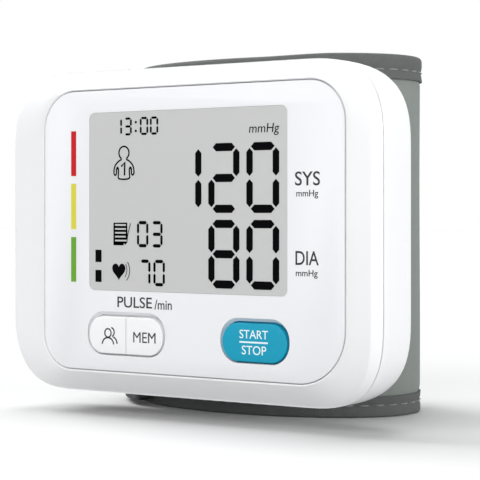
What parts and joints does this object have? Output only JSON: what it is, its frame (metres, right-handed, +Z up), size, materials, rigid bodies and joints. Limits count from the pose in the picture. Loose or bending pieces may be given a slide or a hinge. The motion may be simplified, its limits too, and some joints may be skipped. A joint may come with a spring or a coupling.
{
  "type": "wrist blood pressure monitor",
  "caption": "Wrist blood pressure monitor: a slim white case with a display and push buttons, carried on a padded cloth cuff that closes round the wrist.",
  "frame": {"origin": "middle of the object on the surface that it stands on, in the plane of the cuff's lower edge", "axes": "+Z up, along the axis of the cuff's opening; the display faces -Y; +X to the right seen from the front"},
  "size_m": [0.0834, 0.0552, 0.0674],
  "materials": {
    "case_white": "gloss moulded plastic",
    "panel_white": "gloss sheet with printed labels",
    "window_grey": "smooth clear sheet over the light grey display",
    "display_glass": "liquid crystal display with a grey backing",
    "button_turquoise": "satin moulded plastic",
    "dark_plastic": "matte moulded plastic",
    "board_green": "glass fibre board with green mask",
    "screw_steel": "zinc plated steel",
    "motor_metal": "drawn metal can",
    "cell_jacket": "foil jacket without print",
    "contact_brass": "plated sheet",
    "hose_silicone": "soft silicone",
    "bladder_rubber": "welded rubber film",
    "band_plastic": "springy plastic sheet",
    "cover_cloth": "satin cloth on a rubber backing",
    "binding_tape": "rubber backed woven tape with stitching",
    "lining_cloth": "matte cloth on a rubber backing",
    "hook_tape": "hook and loop tape"
  },
  "bodies": {
    "case": {"front_shell": "case_white", "rear_shell": "case_white", "faceplate": "panel_white", "display_window": "window_grey", "lcd_glass": "display_glass", "lcd_holder": "dark_plastic", "contact_strip": "hose_silicone", "start_switch": "dark_plastic", "user_switch": "dark_plastic", "memory_switch": "dark_plastic", "circuit_board": "board_green", "controller_chip": "dark_plastic", "buzzer": "dark_plastic", "pressure_sensor": "motor_metal", "pump_motor": "motor_metal", "pump_head": "dark_plastic", "air_manifold": "dark_plastic", "release_valve": "motor_metal", "pump_hose": "hose_silicone", "valve_hose": "hose_silicone", "sensor_hose": "hose_silicone", "air_port": "dark_plastic", "cuff_hose": "hose_silicone", "battery_left": "cell_jacket", "battery_right": "cell_jacket", "contact_bridge": "contact_brass", "contact_negative": "contact_brass", "contact_positive": "contact_brass", "battery_spring_left": "screw_steel", "battery_spring_right": "screw_steel", "case_screw_1": "screw_steel", "case_screw_2": "screw_steel", "case_screw_3": "screw_steel", "case_screw_4": "screw_steel", "board_screw_1": "screw_steel", "board_screw_2": "screw_steel", "board_screw_3": "screw_steel", "cuff_screw_1": "screw_steel", "cuff_screw_2": "screw_steel", "cuff_screw_3": "screw_steel", "cuff_screw_4": "screw_steel", "cuff_cover": "cover_cloth", "cuff_band": "band_plastic", "bladder": "bladder_rubber", "cuff_lining": "lining_cloth", "cuff_binding_top": "binding_tape", "cuff_binding_bottom": "binding_tape"},
    "start_key": {"start_button": "button_turquoise"},
    "user_key": {"user_button": "case_white"},
    "memory_key": {"memory_button": "case_white"},
    "door": {"battery_door": "case_white"},
    "flap": {"flap_cover": "cover_cloth", "flap_lining": "lining_cloth", "flap_binding_top": "binding_tape", "flap_binding_bottom": "binding_tape", "hook_strip": "hook_tape"}
  },
  "joints": [
    {"name": "start_press", "type": "slide", "parent": "case", "child": "start_key", "axis": [0, 1, 0], "range_m": [0, 0.0007], "stiffness_N_per_m": 1500},
    {"name": "user_press", "type": "slide", "parent": "case", "child": "user_key", "axis": [0, 1, 0], "range_m": [0, 0.0007], "stiffness_N_per_m": 1500},
    {"name": "memory_press", "type": "slide", "parent": "case", "child": "memory_key", "axis": [0, 1, 0], "range_m": [0, 0.0007], "stiffness_N_per_m": 1500},
    {"name": "door_slide", "type": "slide", "parent": "case", "child": "door", "axis": [-1, 0, 0], "range_m": [0, 0.015]},
    {"name": "flap_fold", "type": "hinge", "parent": "case", "child": "flap", "pos_m": [-0.01154, 0.02678, 0.0337], "axis": [0, 0, -1], "range_deg": [0, 110]}
  ]
}
